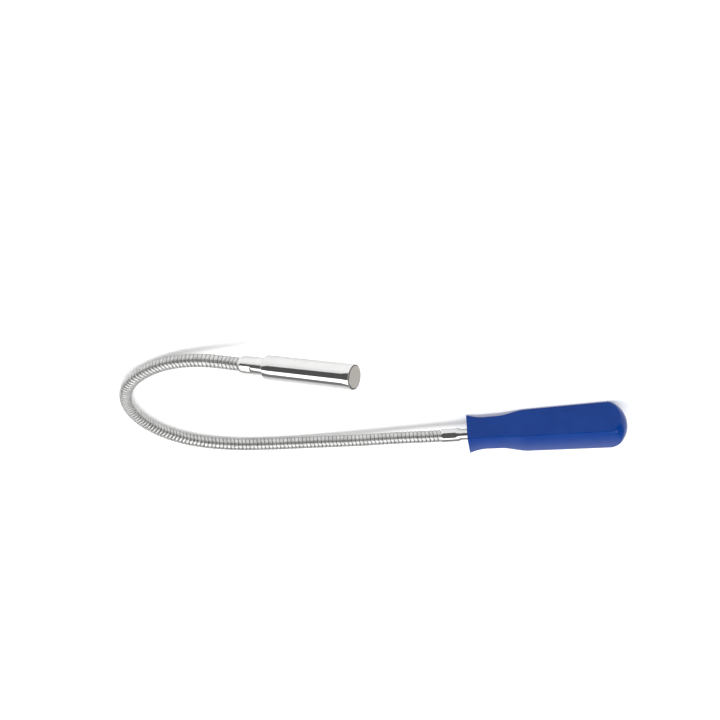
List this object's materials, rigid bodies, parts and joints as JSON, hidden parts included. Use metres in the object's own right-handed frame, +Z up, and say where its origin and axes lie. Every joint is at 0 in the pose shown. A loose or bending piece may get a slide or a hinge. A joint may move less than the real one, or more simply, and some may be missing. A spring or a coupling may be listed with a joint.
{
  "type": "magnetic pickup tool",
  "caption": "Flexible magnetic pickup tool: a blue square handle, a long steel gooseneck bent into a loop, and a magnet in a bright sleeve at its tip.",
  "frame": {"origin": "on the handle's flat underside, halfway along the handle, at table height", "axes": "+X from the handle's butt towards the gooseneck, +Z up from the table, -Y towards the side that the gooseneck loops round to"},
  "size_m": [0.3097, 0.1496, 0.047],
  "materials": {
    "handle": "glossy moulded plastic, deep blue",
    "ferrule": "bright nickel plate on steel tube",
    "outer_wire": "bright nickel plate on wound wire",
    "inner_wire": "drawn steel wire",
    "sleeve": "mirror chrome",
    "plug": "turned steel",
    "spacer": "plain plastic tube",
    "liner": "black plastic cup",
    "magnet": "ground magnet alloy, warm grey"
  },
  "bodies": {
    "handle": {"handle": "handle", "handle_ferrule": "ferrule", "outer_wire_00": "outer_wire", "inner_wire_00": "inner_wire"},
    "neck_01": {"outer_wire_01": "outer_wire", "inner_wire_01": "inner_wire"},
    "neck_02": {"outer_wire_02": "outer_wire", "inner_wire_02": "inner_wire"},
    "neck_03": {"outer_wire_03": "outer_wire", "inner_wire_03": "inner_wire"},
    "neck_04": {"outer_wire_04": "outer_wire", "inner_wire_04": "inner_wire"},
    "neck_05": {"outer_wire_05": "outer_wire", "inner_wire_05": "inner_wire"},
    "neck_06": {"outer_wire_06": "outer_wire", "inner_wire_06": "inner_wire"},
    "neck_07": {"outer_wire_07": "outer_wire", "inner_wire_07": "inner_wire"},
    "neck_08": {"outer_wire_08": "outer_wire", "inner_wire_08": "inner_wire"},
    "neck_09": {"outer_wire_09": "outer_wire", "inner_wire_09": "inner_wire"},
    "neck_10": {"outer_wire_10": "outer_wire", "inner_wire_10": "inner_wire"},
    "neck_11": {"outer_wire_11": "outer_wire", "inner_wire_11": "inner_wire"},
    "head": {"outer_wire_12": "outer_wire", "inner_wire_12": "inner_wire", "head_ferrule": "ferrule", "head_sleeve": "sleeve", "head_plug": "plug", "spacer_tube": "spacer", "magnet_liner": "liner", "magnet": "magnet"}
  },
  "joints": [
    {"name": "side_bend_01", "type": "hinge", "parent": "handle", "child": "neck_01", "pos_m": [0.0811, 0.00018, 0.00876], "axis": [-0.068, -0.0006, -0.9977], "range_deg": [-40, 40]},
    {"name": "lift_bend_02", "type": "hinge", "parent": "neck_01", "child": "neck_02", "pos_m": [0.10928, 0.00129, 0.00713], "axis": [-0.0523, 0.9986, 0.0026], "range_deg": [-40, 40]},
    {"name": "side_bend_03", "type": "hinge", "parent": "neck_02", "child": "neck_03", "pos_m": [0.13747, 0.0024, 0.00556], "axis": [-0.0645, -0.0005, -0.9979], "range_deg": [-40, 40]},
    {"name": "lift_bend_04", "type": "hinge", "parent": "neck_03", "child": "neck_04", "pos_m": [0.16568, 0.00228, 0.00432], "axis": [0.0349, 0.9994, -0.0015], "range_deg": [-40, 40]},
    {"name": "side_bend_05", "type": "hinge", "parent": "neck_04", "child": "neck_05", "pos_m": [0.1938, -0.0003, 0.00411], "axis": [0.0068, -0.0034, -1], "range_deg": [-50, 30]},
    {"name": "side_bend_06", "type": "hinge", "parent": "neck_05", "child": "neck_06", "pos_m": [0.22088, -0.00807, 0.00427], "axis": [-0.0035, 0.0024, 1], "range_deg": [-20, 60]},
    {"name": "side_bend_07", "type": "hinge", "parent": "neck_06", "child": "neck_07", "pos_m": [0.24315, -0.025, 0.00434], "axis": [0.0007, -0.0003, -1], "range_deg": [-70, 10]},
    {"name": "side_bend_08", "type": "hinge", "parent": "neck_07", "child": "neck_08", "pos_m": [0.25486, -0.05039, 0.00441], "axis": [-0.0022, 0.0035, 1], "range_deg": [-10, 70]},
    {"name": "side_bend_09", "type": "hinge", "parent": "neck_08", "child": "neck_09", "pos_m": [0.25218, -0.07815, 0.00469], "axis": [0.0009, -0.0172, -0.9999], "range_deg": [-75, 5]},
    {"name": "side_bend_10", "type": "hinge", "parent": "neck_09", "child": "neck_10", "pos_m": [0.23418, -0.09923, 0.00428], "axis": [-0.0365, -0.0245, 0.999], "range_deg": [-10, 70]},
    {"name": "side_bend_11", "type": "hinge", "parent": "neck_10", "child": "neck_11", "pos_m": [0.20828, -0.11011, 0.00566], "axis": [-0.1332, -0.0467, -0.99], "range_deg": [-60, 20]},
    {"name": "lift_bend_12", "type": "hinge", "parent": "neck_11", "child": "head", "pos_m": [0.18099, -0.11421, 0.01135], "axis": [0.049, -0.9973, 0.0546], "range_deg": [-30, 50]}
  ]
}
